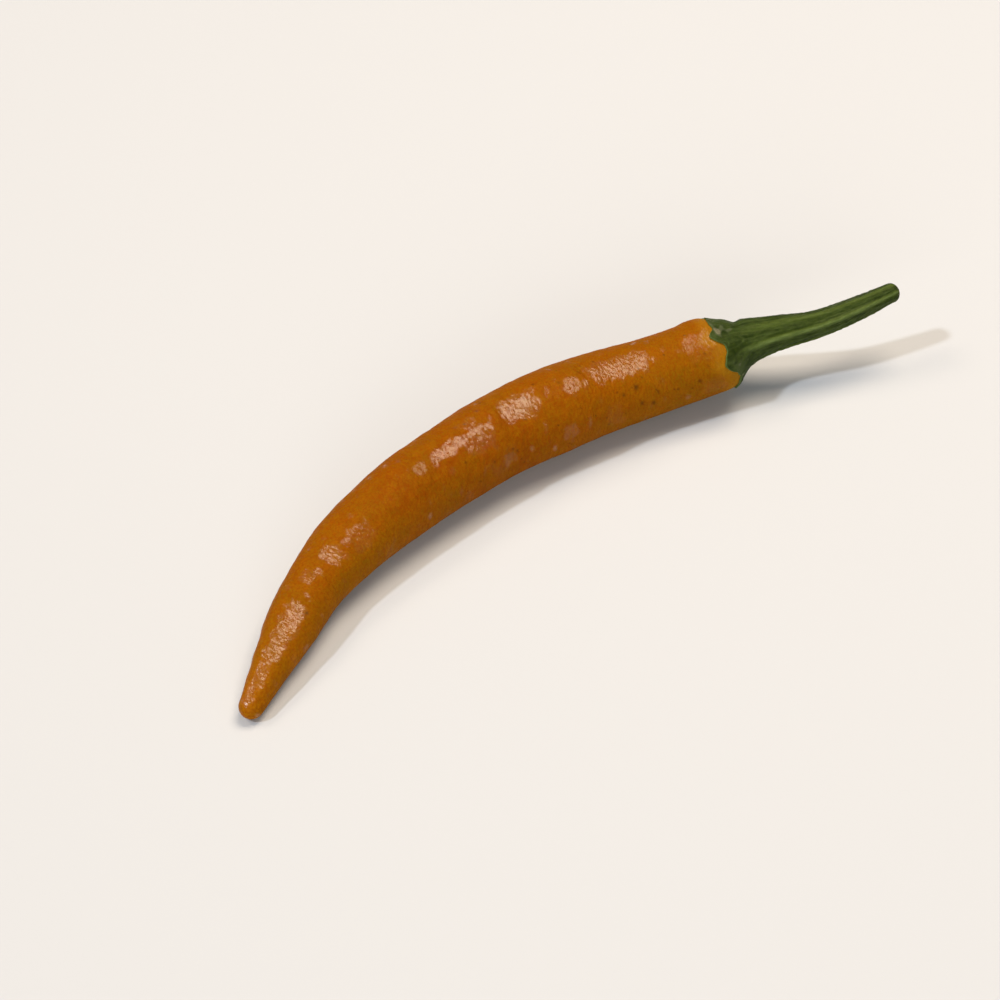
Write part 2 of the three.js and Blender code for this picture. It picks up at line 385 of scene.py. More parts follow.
def pod_relief(distance, radius, angle):
    """The height of the relief in mm. A flat is a hollow whose depth, half the radius times the
    half width squared, would just cancel the roundness. Rolling lumps, ripples and creased
    crinkles, which are longer round the pod than along it, are added."""
    place = straight_point(distance, radius, angle)
    height = LUMP_HEIGHT * rolling(place, LUMP_LENGTH, (1, 1.2, 1.2), seed=3)
    for at, turn, half_length, half_width, _ in FLATS:
        depth = FLATNESS * radius * math.radians(half_width) ** 2 / 2
        height -= depth * on_patch(distance, angle, at, turn, half_length, half_width, 2)
    height += RIPPLE_HEIGHT * rolling(place, RIPPLE_LENGTH, (1, 1.5, 1.5), seed=5)
    crease = np.abs(rolling(place, CRINKLE_LENGTH, (1, 1.5, 1.5), seed=8, waves=60))
    height -= CRINKLE_HEIGHT * np.exp(-((crease / CRINKLE_SHARPNESS) ** 2))
    wander = CREASE_WANDER * rolling(place, WANDER_LENGTH, (1, 1, 1), seed=14)
    for at, turn, half_width, depth in CREASES:
        line = np.exp(-(((distance - at + wander) / CREASE_HALF_WIDTH) ** 2))
        height -= depth * line * swelling(angle, turn, half_width)
    clear_of_belly = fade(np.sin(angle), *BELLY_CALM)
    clear_of_ends = fade(distance, *TIP_CALM) * (1 - fade(distance, *SHOULDER_CALM))
    return height * clear_of_belly * clear_of_ends


def shoulder_rise(distance, radius, angle):
    """How much higher the far shoulder stands, in mm, under the calyx as well as beside it."""
    along = np.exp(-(((distance - SHOULDER_RISE_AT) / SHOULDER_RISE_LENGTH) ** 2))
    far_side = swelling(angle, FAR_SIDE, FAR_SIDE_HALF_WIDTH)
    return SHOULDER_RISE * along * far_side * fade(radius, *CLEAR_OF_SCAR)


# %% [markdown]
# ## Where the wax shines
#
# Wax is bright where the skin under it is tight and smooth, and dull where it is crinkled or has
# been rubbed. A painted map could say where, but the flats are already listed, so the same list
# gives the gloss. It is stored on the mesh, and the material reads it as the weight of its coat.

# %% The gloss of the wax
RAGGEDNESS, RAGGED_LENGTH = 0.25, 1.3   # how ragged a glossy patch's edge is
PATCH_EDGE = (0.25, 0.6)
FLANK_SHINE, BACK_SHINE = 0.12, 0.6
FLANK_PATCH_LENGTH, FLANK_PATCHES = 5.0, (0.7, 1.1)
TOP, TOP_HALF_WIDTH = 90, 60   # in degrees, the part of the pod that has none of those patches
LISTED_SIDE = 135   # the middle, in degrees, of the half of the pod on which the flats are listed
BACK_STARTS = (92, 120)   # how many degrees from there the back of the pod begins
BACK_COVER, BACK_EDGE = 1.2, (0.5, 1.2)   # how fully wax covers the back


def pod_gloss(distance, radius, angle):
    """How much the wax shines, from 0 to 1: fully on the tight skin of a flat, whose edge is
    ragged, weakly in rolling patches on the flank, and evenly on the back, where it was rubbed
    less. The largest of the three counts."""
    place = straight_point(distance, radius, angle)
    ragged = RAGGEDNESS * rolling(place, RAGGED_LENGTH, (1, 1.4, 1.4), seed=11)
    gloss = np.zeros_like(distance)
    for at, turn, half_length, half_width, shine in FLATS:
        patch = on_patch(distance, angle, at, turn, half_length, half_width, 4)
        gloss = np.maximum(gloss, shine * fade(patch + ragged, *PATCH_EDGE))
    patches = rolling(place, FLANK_PATCH_LENGTH, (1, 1, 1), seed=12) + ragged
    flank = FLANK_SHINE * fade(patches, *FLANK_PATCHES)
    gloss = np.maximum(gloss, flank * (1 - swelling(angle, TOP, TOP_HALF_WIDTH)))
    back = fade(np.abs(degrees_from(angle, LISTED_SIDE)), *BACK_STARTS)
    return np.maximum(gloss, BACK_SHINE * back * fade(BACK_COVER + ragged + gloss, *BACK_EDGE))


# %% [markdown]
# ## Skin that ripened late
#
# A pod turns from green to orange in patches, and the parts that lay in the shade keep a trace of
# olive. A noise would put that trace anywhere, so each shaded part has its own place and its own
# strength here, and the result is stored on the mesh for the material to read.

# %% Late ripening
# Where the skin ripened last: distance in mm, angle in degrees, half length in mm, half width in
# degrees, and how late it was.
LATE_PATCHES = [(23.0, 160, 8.0, 24, 1.0), (41.0, 165, 9.0, 20, 0.45), (75.0, 146, 7.0, 26, 0.8),
                (60.0, 40, 12.0, 40, 0.4), (30.0, 290, 15.0, 50, 0.5)]


def late_ripening(distance, angle):
    """How late the skin ripened, from 0 to 1: each patch falls off as e to the minus of two
    squares, which count how many half lengths and how many half widths away its middle is."""
    late = np.zeros_like(distance)
    for at, turn, half_length, half_width, strength in LATE_PATCHES:
        along = np.exp(-(((distance - at) / half_length) ** 2))
        late = np.maximum(late, strength * along * swelling(angle, turn, half_width))
    return late


# %% [markdown]
# ## Dark specks
#
# Near the calyx the skin has small dark specks, where its pores have corked over. A noise would
# put them everywhere, so each has its own place: a few larger ones, and many that are scattered at
# random over the same part of the skin.

# %% Scatter the specks
# Distance, angle in degrees and radius in mm of the larger specks.
LARGE_SPECKS = [(68.2, 142, 0.34), (68.7, 167, 0.26), (70.5, 173, 0.30), (66.2, 147, 0.20),
                (71.4, 158, 0.18), (77.4, 165, 0.22), (50.1, 160, 0.16), (13.6, 128, 0.18)]
SMALL_SPECKS = 190
SMALL_SPECK_REACH, SMALL_SPECK_RADII = (30, 81), (0.05, 0.15)   # in mm


def speck_list():
    """All specks as rows of distance, angle and radius. The small ones crowd towards the calyx,
    because their distance is the largest of two random ones."""
    draw = np.random.default_rng(17)
    distance = draw.uniform(*SMALL_SPECK_REACH, (SMALL_SPECKS, 2)).max(axis=1)
    angle = draw.uniform(0, 360, SMALL_SPECKS)
    radius = draw.uniform(*SMALL_SPECK_RADII, SMALL_SPECKS)
    return np.concatenate([np.array(LARGE_SPECKS), np.stack([distance, angle, radius], axis=-1)])


def specks(distance, radius, angle):
    """1 in the middle of each speck and 0 away from it: e to the minus square of how far away the
    nearest speck is, in speck radii."""
    dark = np.zeros_like(distance)
    for at, turn, size in speck_list():
        away = np.hypot(distance - at, np.radians(degrees_from(angle, turn)) * radius)
        dark = np.maximum(dark, np.exp(-((away / size) ** 2)))
    return dark


# %% [markdown]
# ## The edge of the calyx
#
# The calyx ends in teeth, which lie on the pod's shoulder. The pod needs to know where they are
# too, because its skin is paler and yellower close to them, so the edge comes before both skins.

# %% Where the calyx ends
CALYX_RIM = 82.3   # distance from the tip, between the teeth
EDGE_RAGGED, EDGE_RAGGED_LENGTH = 0.07, 0.28   # the small irregularities of the edge
# Angle in degrees (90 is the top), length in mm and half width in degrees of each tooth.
CALYX_TEETH = [
    (8, 0.9, 22),
    (76, 0.3, 18),
    (107, 1.25, 12),
    (156, 1.3, 17),
    (228, 0.9, 24),
    (300, 1.3, 26),
]


def calyx_edge(angle):
    """How far from the tip the calyx ends at an angle: its rim, less the teeth that lie there,
    with a ragged edge that repeats itself after a full turn."""
    ring = np.stack([np.cos(angle), np.sin(angle)], axis=-1)
    edge = CALYX_RIM + EDGE_RAGGED * rolling(ring, EDGE_RAGGED_LENGTH, (1, 1), seed=31)
    for place, length, half_width in CALYX_TEETH:
        edge -= length * swelling(angle, place, half_width)
    return edge


def shoulder_turn_at(distance):
    """The turn on the shoulder at which a distance along the line is reached."""
    depth = np.clip((distance - SHOULDER_START) / SHOULDER_LENGTH, 0, 1)
    return np.arcsin(depth ** (SHOULDER_POWER / 2))


# %% [markdown]
# ## The pod's skin
#
# The rows and the angles make a grid, the relief is added to the radius, and the grid is bent. The
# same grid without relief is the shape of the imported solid, so its box against the solid's box
# says how many metres a millimetre is here and where the tip lies. What the material needs to
# know at each point is stored with it.

# %% Grow the pod's skin
pod_distance, pod_radius = pod_rows()
pod_angles = np.radians(-90) + 2 * np.pi * np.arange(POD_SIDES) / POD_SIDES
distance, angle = np.meshgrid(pod_distance, pod_angles, indexing="ij")
plain_radius = np.repeat(pod_radius[:, None], POD_SIDES, axis=1)
radius = plain_radius + pod_relief(distance, plain_radius, angle)
radius = np.maximum(radius + shoulder_rise(distance, plain_radius, angle), 0)
pod_points = bend(distance, radius, angle)

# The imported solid's box against the plain pod's box gives the scale and the place.
plain_points = bend(distance, plain_radius, angle)
pod_low, pod_high = (np.array(corner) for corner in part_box("pod"))
plain_low, plain_high = plain_points.min((0, 1)), plain_points.max((0, 1))
SCALE = (pod_high[0] - pod_low[0]) / (plain_high[0] - plain_low[0])
CORNER = pod_low - plain_low * SCALE
print("metres for each mm:", round(SCALE, 6))

pod = skin_piece("ripe_pod", pod_points, SCALE, CORNER, {
    "straight": straight_point(distance, plain_radius, angle),
    "to_calyx": calyx_edge(angle) - distance,
    "gloss": pod_gloss(distance, plain_radius, angle),
    "speck": specks(distance, plain_radius, angle),
    "leftward": np.cos(angle),
    "late": late_ripening(distance, angle),
})
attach(pod, "root")
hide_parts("pod")

# %% [markdown]
# ## The shape of the calyx and the stem
#
# The green piece is one closed skin that starts in the middle of its underside. It runs out over
# the pod's shoulder, turns round the thin lip at the teeth, comes back over the calyx and flares
# down into the stem. The underside keeps a hair's breadth off the pod all the way. On the stem,
# ribs run on from the teeth and turn back a little. The cut end is rounded, because a picked stem
# dries and draws in. It could be lathed and sculpted, but one grid has no joins to hide.

# %% Measures of the calyx and the stem
SEAT_GAP = 0.04        # between the pod and the calyx
CALYX_THICKNESS = 0.22
FLARE_START = 82.0     # from here the calyx narrows to the stem
FLARE_HEIGHT = 2.4     # how much wider than the stem it is there
FLARE_LENGTH = 3.0
FLARE_POWER = 1.2
STEM_RADIUS = 2.1      # at the calyx, between the ribs
STEM_TAPER = 0.038     # loss of radius for each millimetre
# Each rib: its angle in degrees at RIBS_LISTED_AT, its half width in degrees, and its strength.
STEM_RIBS = ((22, 13, 0.8), (97, 17, 0.6), (152, 12, 1.0), (222, 13, 0.7), (296, 13, 0.8))
RIBS_LISTED_AT = 93.0
STEM_TWIST = 0.7       # how many degrees the ribs turn back for each millimetre
# The grooves between them, painted darker as painted shade and not cut into the mesh: angle in
# degrees at RIBS_LISTED_AT, half width, strength.
STEM_GROOVE_SHADES = ((117, 13, 0.7), (171, 10, 1.0))
RIB_HEIGHT = 0.24
RIBS_GROW = (83.5, 87.0)    # from where to where the ribs grow to their full height
RIBS_FADE, RIBS_LOSE = (101.5, 104.5), 0.75   # where they fade before the cut, and how much
STEM_SWELL, SWELL_AT, SWELL_LENGTH = 0.42, 87.6, 4.6   # the swelling on the far side
FOLD_DEPTH, FOLD_AT, FOLD_LENGTH = 0.40, 85.0, 0.55    # and the fold before it
FLARE_JOINS = 1.2           # how far before its start the flare comes in
BACK_SHARE = 0.55           # the part of the shoulder that the back of the calyx follows
BACK_BLEND = 0.15           # how softly the calyx passes into the flare
ROWS_CROWD = 1.15           # above 1, the rows of the stem stand closer near the calyx
END_ROUNDING = 1.0
GREEN_SIDES = 208
UNDER_RINGS, LIP_RINGS, BACK_RINGS, STEM_RINGS, END_RINGS = 16, 9, 56, 310, 22


# %% The flare, the ribs and the lip
def untwisted(distance, angle):
    """The angle of a place on the stem, once the twist of the ribs is taken out."""
    return angle + np.radians(STEM_TWIST * (distance - RIBS_LISTED_AT))


def strongest(lines, distance, angle):
    """The strength at a place of the ribs or grooves in a list, from 0 away from them all to the
    strength of the nearest on its middle."""
    turned = untwisted(distance, angle)
    return np.max([strength * swelling(turned, place, half_width)
                   for place, half_width, strength in lines], axis=0)


def flare_radius(distance, angle):
    """The radius of the stem and its flare: a taper, plus a flare that dies away as e to the
    minus of the distance from its start in flare lengths, to a power, plus the ribs. On the far
    side there is a fold between the calyx and the stem, and the stem swells after it."""
    past = np.maximum(distance - FLARE_START, 0)
    flare = FLARE_HEIGHT * np.exp(-((past / FLARE_LENGTH) ** FLARE_POWER))
    swell = STEM_SWELL * np.exp(-np.abs((distance - SWELL_AT) / SWELL_LENGTH) ** 3)
    fold = FOLD_DEPTH * np.exp(-(((distance - FOLD_AT) / FOLD_LENGTH) ** 2))
    far_side = swelling(angle, FAR_SIDE, FAR_SIDE_HALF_WIDTH)
    ribs = RIB_HEIGHT * strongest(STEM_RIBS, distance, angle) * fade(distance, *RIBS_GROW)
    ribs *= 1 - RIBS_LOSE * fade(distance, *RIBS_FADE)
    return STEM_RADIUS - STEM_TAPER * past + flare + ribs + far_side * (swell - fold)


def above_shoulder(turn, height):
    """A point at a height above the shoulder, square to it. The direction is the slope of the
    squared ellipse there: depth and width to one power less, over its two half sizes."""
    distance, radius, depth, width = shoulder_point(turn)
    outward = depth ** (SHOULDER_POWER - 1) / SHOULDER_LENGTH
    sideways = width ** (SHOULDER_POWER - 1) / body_radius(SHOULDER_START)
    size = np.hypot(outward, sideways)
    return distance + height * outward / size, radius + height * sideways / size


def larger(one, other, blend):
    """The larger of two values, rounded off where they cross: half their sum, plus half the root
    of their difference squared plus the blend squared."""
    return 0.5 * (one + other + np.sqrt((one - other) ** 2 + blend**2))


# %% [markdown]
# ## The rows of the green skin
#
# Its rings are laid out one stretch after another: the underside, the lip, the back of the calyx,
# the stem and the rounded cut. Each stretch is worked out for all angles at once, because the
# teeth make every angle's edge lie somewhere else. Then the stretches are joined into one grid.

# %% Lay out the green skin
green_angles = np.radians(-90) + 2 * np.pi * np.arange(GREEN_SIDES) / GREEN_SIDES
rim_turn = shoulder_turn_at(calyx_edge(green_angles))
centre_turn = np.pi / 2

share = np.linspace(0, 1, UNDER_RINGS)[:, None]
under_distance, under_radius = above_shoulder(
    centre_turn + share * (rim_turn - centre_turn), SEAT_GAP)

# The lip is half a circle that stands past the edge, from the underside to the back.
half_circle = np.linspace(0, np.pi, LIP_RINGS + 2)[1:-1, None]
lip_height = SEAT_GAP + 0.5 * CALYX_THICKNESS * (1 - np.cos(half_circle))
lip_distance, lip_radius = above_shoulder(rim_turn[None, :] + 0 * half_circle, lip_height)
lip_distance = lip_distance - 0.5 * CALYX_THICKNESS * np.sin(half_circle)

share = np.linspace(0, BACK_SHARE, BACK_RINGS)[:, None]
back_distance, back_radius = above_shoulder(
    rim_turn + share * (centre_turn - rim_turn), SEAT_GAP + CALYX_THICKNESS)
flare = flare_radius(back_distance, green_angles + 0 * back_distance)
flare *= fade(back_distance, FLARE_START - FLARE_JOINS, FLARE_START)
back_radius = larger(back_radius, flare, BACK_BLEND * share / BACK_SHARE)

share = np.linspace(0, 1, STEM_RINGS + 1)[1:, None] ** ROWS_CROWD
stem_distance = back_distance[-1] + share * (CHILI_LENGTH - END_ROUNDING - back_distance[-1])
stem_radius = flare_radius(stem_distance, green_angles + 0 * stem_distance)

end_turn = np.linspace(0, np.pi / 2, END_RINGS + 1)[1:, None]
end_distance = CHILI_LENGTH - END_ROUNDING * (1 - np.sin(end_turn)) + 0 * green_angles
end_radius = flare_radius(end_distance, green_angles + 0 * end_distance)
end_radius = end_radius * np.maximum(np.cos(end_turn), 0)

distance = np.concatenate(
    [under_distance, lip_distance, back_distance, stem_distance, end_distance])
plain_radius = np.concatenate([under_radius, lip_radius, back_radius, stem_radius, end_radius])
plain_radius[0] = 0
angle = np.broadcast_to(green_angles, distance.shape)
row = np.arange(len(distance))[:, None] + 0 * angle
outer = row >= UNDER_RINGS + LIP_RINGS
print("green rings:", len(distance))

# %% [markdown]
# ## The relief of the green piece
#
# The back of the calyx is drawn into fine creases that run from the teeth towards the stem, and
# its teeth are crusted where they have dried. The stem has a finer cord between the main ribs, and
# its skin is faintly pitted. All of it is laid out on a tube of one radius, so that each line
# runs on without a break from the wide calyx to the thin stem.

# %% Creases, cords and crust
TUBE_RADIUS = 2.0
CREASE_DEPTH, CORD_HEIGHT, PIT_DEPTH, CRUST_HEIGHT = 0.075, 0.035, 0.02, 0.05
CREASE_SHARPNESS = 0.3
CALYX_ENDS = (84.0, 88.0)    # from where to where the calyx's creases pass into the stem's cords
RISE_ENDS = (84.2, 85.2)     # the high far shoulder ends here, at the fold
# Wavelength in mm, and how much longer it is along the stem.
CALYX_CREASES, STEM_CORDS = (0.62, (7, 1, 1)), (1.0, (14, 1, 1))
STEM_PITS, CRUST_PATCHES, CRUST_GRAIN = (0.5, (1.6, 1, 1)), (0.5, (2.5, 1, 1)), (0.35, (1, 1, 1))
# Where the teeth have dried: angle and half width in degrees, and how dry.
DRIED_TEETH = ((93, 12, 1.0), (112, 9, 0.6))
CRUST_ON_TEETH = 2.0         # how strongly the crust keeps to those teeth
CRUST_STARTS, CRUST_REACH = (0.7, 2.6), (1.6, 3.2)
CUT_CALM, EDGE_CALM = (0, 1.5), (-0.1, 0.4)   # the relief comes up this far from the cut and edge

tube = straight_point(distance, TUBE_RADIUS, angle)
past_edge = distance - calyx_edge(angle)
on_calyx = 1 - fade(distance, *CALYX_ENDS)
creases = np.abs(rolling(tube, *CALYX_CREASES, seed=21, waves=60))
cords = rolling(tube, *STEM_CORDS, seed=22)
pits = rolling(tube, *STEM_PITS, seed=23, waves=60)
crust_spread = rolling(tube, *CRUST_PATCHES, seed=24)
dried = np.max([dryness * swelling(angle, place, half_width)
                for place, half_width, dryness in DRIED_TEETH], axis=0)
crust = fade(crust_spread + CRUST_ON_TEETH * dried, *CRUST_STARTS)
crust *= (1 - fade(past_edge, *CRUST_REACH)) * outer

vein = np.exp(-((creases / CREASE_SHARPNESS) ** 2)) * on_calyx
relief = -CREASE_DEPTH * vein
relief += CORD_HEIGHT * cords * (1 - on_calyx) + PIT_DEPTH * pits
relief += CRUST_HEIGHT * crust * (1 + rolling(tube, *CRUST_GRAIN, seed=25))
relief *= outer * fade(CHILI_LENGTH - distance, *CUT_CALM) * fade(past_edge, *EDGE_CALM)
on_shoulder = shoulder_rise(distance, plain_radius, angle) * (1 - fade(distance, *RISE_ENDS))
radius = np.maximum(plain_radius + on_shoulder + relief, 0)
radius[-1] = 0

green_points = bend(distance, radius, angle)
green = skin_piece("calyx_with_stem", green_points, SCALE, CORNER, {
    "tube": tube,
    "past_edge": past_edge,
    "rib": strongest(STEM_RIBS, distance, angle),
    "groove_shade": strongest(STEM_GROOVE_SHADES, distance, angle),
    "crust": crust,
    "vein": vein,
})
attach(green, "root")
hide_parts("calyx_and_stem")

# %% [markdown]
# ## Nodes with less writing
#
# A material is a small machine of nodes. A few helpers keep it readable: one adds a node and fills
# in its inputs, one mixes two colours, one turns a value into a mask that fades from 0 to 1, and
# the others do a sum, stretch coordinates and read what the mesh stores.


# %% Node helpers
def add_node(tree, kind, inputs=None, **settings):
    """One node, with its settings set, and each named input given a value or joined to a socket."""
    node = tree.nodes.new(kind)
    for name, value in settings.items():
        setattr(node, name, value)
    for name, value in (inputs or {}).items():
        if isinstance(value, bpy.types.NodeSocket):
            tree.links.new(value, node.inputs[name])
        else:
            node.inputs[name].default_value = value
    return node


def mix(tree, factor, first, second):
    """The second colour over the first, as far as the factor says. A colour is a socket or three
    numbers."""
    node = tree.nodes.new("ShaderNodeMix")
    node.data_type = "RGBA"
    sockets = (node.inputs[0], node.inputs[6], node.inputs[7])
    for socket, value in zip(sockets, (factor, first, second)):
        if isinstance(value, bpy.types.NodeSocket):
            tree.links.new(value, socket)
        else:
            socket.default_value = (*value, 1) if isinstance(value, tuple) else value
    return node.outputs[2]


def mask(tree, value, start, end):
    """0 where the value is at start, 1 where it is at end, with a soft step between."""
    node = add_node(tree, "ShaderNodeMapRange", {
        "Value": value, "From Min": start, "From Max": end,
    }, interpolation_type="SMOOTHSTEP")
    return node.outputs["Result"]


def calculate(tree, operation, first, second):
    """One sum on two values, each a socket or a number."""
    return add_node(tree, "ShaderNodeMath", {0: first, 1: second}, operation=operation).outputs[0]


def stretched(tree, vector, scale):
    """The coordinates, with each axis scaled on its own."""
    return add_node(tree, "ShaderNodeMapping", {"Vector": vector, "Scale": scale}).outputs[0]


def stored(tree, name, kind="Fac"):
    """What the mesh stores under a name: a number, or a vector where the kind says so."""
    return add_node(tree, "ShaderNodeAttribute", attribute_name=name).outputs[kind]


# %% [markdown]
# ## Mottling, for both skins
#
# Neither skin has one colour: the cells under it are riper or paler in drifts. A picture could
# paint that, but a noise needs no picture and has no seams. Both skins use it, so it is a node
# group, which is built once and given its own colours and sizes in each material.


# %% The mottling group
def make_group(name, inputs, outputs):
    """An empty shader node group with named inputs and outputs."""
    tree = bpy.data.node_groups.new(name, "ShaderNodeTree")
    for label, kind in inputs:
        tree.interface.new_socket(label, in_out="INPUT", socket_type=kind)
    for label, kind in outputs:
        tree.interface.new_socket(label, in_out="OUTPUT", socket_type=kind)
    return tree, tree.nodes.new("NodeGroupInput"), tree.nodes.new("NodeGroupOutput")


mottling, given, result = make_group(
    "mottling",
    [("Coordinates", "NodeSocketVector"), ("Colour", "NodeSocketColor"),
     ("Drift colour", "NodeSocketColor"), ("Patches per mm", "NodeSocketFloat"),
     ("Amount", "NodeSocketFloat")],
    [("Colour", "NodeSocketColor")],
)
drift = add_node(mottling, "ShaderNodeTexNoise", {
    "Vector": given.outputs["Coordinates"], "Scale": given.outputs["Patches per mm"],
    "Detail": 4.0, "Roughness": 0.6,
})
drift_mask = mask(mottling, drift.outputs["Fac"], 0.35, 0.68)
amount = calculate(mottling, "MULTIPLY", drift_mask, given.outputs["Amount"])
mottled = mix(mottling, amount, given.outputs["Colour"], given.outputs["Drift colour"])
mottling.links.new(mottled, result.inputs["Colour"])


def mottle(tree, coordinates, colour, drift_colour, patches, amount):
    """The mottling group, placed in a material with its own values."""
    node = add_node(tree, "ShaderNodeGroup")
    node.node_tree = mottling
    tree.links.new(coordinates, node.inputs["Coordinates"])
    tree.links.new(colour, node.inputs["Colour"])
    node.inputs["Drift colour"].default_value = (*drift_colour, 1)
    node.inputs["Patches per mm"].default_value = patches
    node.inputs["Amount"].default_value = amount
    return node.outputs["Colour"]


# %% [markdown]
# ## Crinkles, for both skins
#
# Under a lamp the pod's gloss breaks into short strokes that cross the pod, and the stem's skin
# into fine lines that run along it. Both are a field of stretched cells with soft creases between
# them, under a finer grain. The group gives a height, which each material feeds to its own bump.

# %% The crinkle group
crinkling, given, result = make_group(
    "crinkling",
    [("Coordinates", "NodeSocketVector"), ("Cells per mm", "NodeSocketFloat"),
     ("Grain", "NodeSocketFloat")],
    [("Height", "NodeSocketFloat")],
)
wander = add_node(crinkling, "ShaderNodeTexNoise", {
    "Vector": given.outputs["Coordinates"], "Scale": 0.9, "Detail": 2.0,
})
wandered = add_node(crinkling, "ShaderNodeVectorMath", {
    0: given.outputs["Coordinates"], 1: wander.outputs["Color"],
}, operation="ADD")
cells = add_node(crinkling, "ShaderNodeTexVoronoi", {
    "Vector": wandered.outputs[0], "Scale": given.outputs["Cells per mm"],
}, feature="SMOOTH_F1")
cells.inputs["Smoothness"].default_value = 0.6
grain = add_node(crinkling, "ShaderNodeTexNoise", {
    "Vector": wandered.outputs[0], "Scale": calculate(
        crinkling, "MULTIPLY", given.outputs["Cells per mm"], 2.5),
    "Detail": 3.0, "Roughness": 0.55,
})
grain_height = calculate(crinkling, "MULTIPLY", grain.outputs["Fac"], given.outputs["Grain"])
cell_height = calculate(crinkling, "SUBTRACT", 1.0, cells.outputs["Distance"])
crinkling.links.new(calculate(crinkling, "ADD", cell_height, grain_height), result.inputs["Height"])


def crinkle(tree, coordinates, cells_per_mm, grain_amount):
    """The crinkle group, placed in a material with its own values."""
    node = add_node(tree, "ShaderNodeGroup")
    node.node_tree = crinkling
    tree.links.new(coordinates, node.inputs["Coordinates"])
    node.inputs["Cells per mm"].default_value = cells_per_mm
    node.inputs["Grain"].default_value = grain_amount
    return node.outputs["Height"]


# %% [markdown]
# ## The finish of the pod
#
# A ripe pod is coloured flesh under a clear wax. The colour drifts from amber at the tip through
# deep orange to a greener yellow at the shoulder, where it ripened last, and a few dark specks lie
# near the calyx. Towards the tip the near flank is painted a paler amber, a painted pool of light.
# The Principled shader gives the flesh a little light from inside, and its coat is the wax: that
# keeps the lamps' gleam clear while the colour under it stays deep.

# %% The pod's colours along its length
AMBER = (0.290, 0.0965, 0.0012)
ORANGE = (0.248, 0.0705, 0.0003)
DEEP_ORANGE = (0.203, 0.0418, 0.0003)
# A paler amber, painted on the near flank towards the tip as a painted pool of light.
LIT_FLANK_AMBER = (0.390, 0.138, 0.0012)
OLIVE = (0.180, 0.084, 0.0010)
PALE_RIM = (0.34, 0.172, 0.008)
SPECK = (0.050, 0.018, 0.003)
# Where each colour comes in: from where it is absent to where it is full, in mm.
ORANGE_FROM_TIP = (3.0, 16.0)
RED_STARTS, RED_ENDS, RED_FLANK = (22.0, 34.0), (66.0, 48.0), (0.5, -2.5)
RED_ELSEWHERE = 0.35   # how red it is away from that flank
# Where that painted light lies: along the pod in mm, and the cosine of the angle round it.
LIT_FLANK_LENGTH, LIT_FLANK_TURN = (52.0, 18.0), (-0.70, -0.98)   # the turn is the cosine of an angle
GREEN_STARTS, GREEN_BELOW = (58.0, 76.0), (3.5, -1.5)
LIT_FLANK_AMOUNT, GREEN_AMOUNT, LATE_AMOUNT, SPECK_AMOUNT, RIM_AMOUNT = 0.7, 0.8, 0.75, 0.8, 0.5
RIM_REACH = (2.6, 0.1)

wax = bpy.data.materials.new("waxy orange skin")
wax.use_nodes = True
tree = wax.node_tree
tree.nodes.clear()

straight = stored(tree, "straight", "Vector")
to_calyx = stored(tree, "to_calyx")
gloss = stored(tree, "gloss")
along, across, up = add_node(tree, "ShaderNodeSeparateXYZ", {0: straight}).outputs

colour = mix(tree, mask(tree, along, *ORANGE_FROM_TIP), AMBER, ORANGE)
redder = calculate(
    tree, "MULTIPLY", mask(tree, along, *RED_STARTS), mask(tree, along, *RED_ENDS))
on_near_flank = calculate(tree, "MULTIPLY", mask(tree, across, *RED_FLANK), 1 - RED_ELSEWHERE)
redder = calculate(
    tree, "MULTIPLY", redder, calculate(tree, "ADD", RED_ELSEWHERE, on_near_flank))
colour = mix(tree, redder, colour, DEEP_ORANGE)
# Painted light: the near flank towards the tip is made a paler amber, as if lit there.
painted_lit_flank = calculate(
    tree, "MULTIPLY", mask(tree, stored(tree, "leftward"), *LIT_FLANK_TURN),
    mask(tree, along, *LIT_FLANK_LENGTH))
colour = mix(tree, calculate(tree, "MULTIPLY", painted_lit_flank, LIT_FLANK_AMOUNT), colour, LIT_FLANK_AMBER)
greener = calculate(
    tree, "MULTIPLY", mask(tree, along, *GREEN_STARTS), mask(tree, up, *GREEN_BELOW))
colour = mix(tree, calculate(tree, "MULTIPLY", greener, GREEN_AMOUNT), colour, OLIVE)
late = stored(tree, "late")
colour = mix(tree, calculate(tree, "MULTIPLY", late, LATE_AMOUNT), colour, OLIVE)

# %% Drifts, specks and the pale rim
colour = mottle(tree, straight, colour, OLIVE, 0.22, 0.5)
colour = mottle(tree, straight, colour, AMBER, 0.8, 0.55)
colour = mottle(tree, straight, colour, OLIVE, 1.6, 0.35)
colour = mottle(tree, straight, colour, DEEP_ORANGE, 3.4, 0.6)

speck = stored(tree, "speck")
colour = mix(tree, calculate(tree, "MULTIPLY", speck, SPECK_AMOUNT), colour, SPECK)

rim = calculate(tree, "MULTIPLY", mask(tree, to_calyx, *RIM_REACH), RIM_AMOUNT)
colour = mix(tree, rim, colour, PALE_RIM)

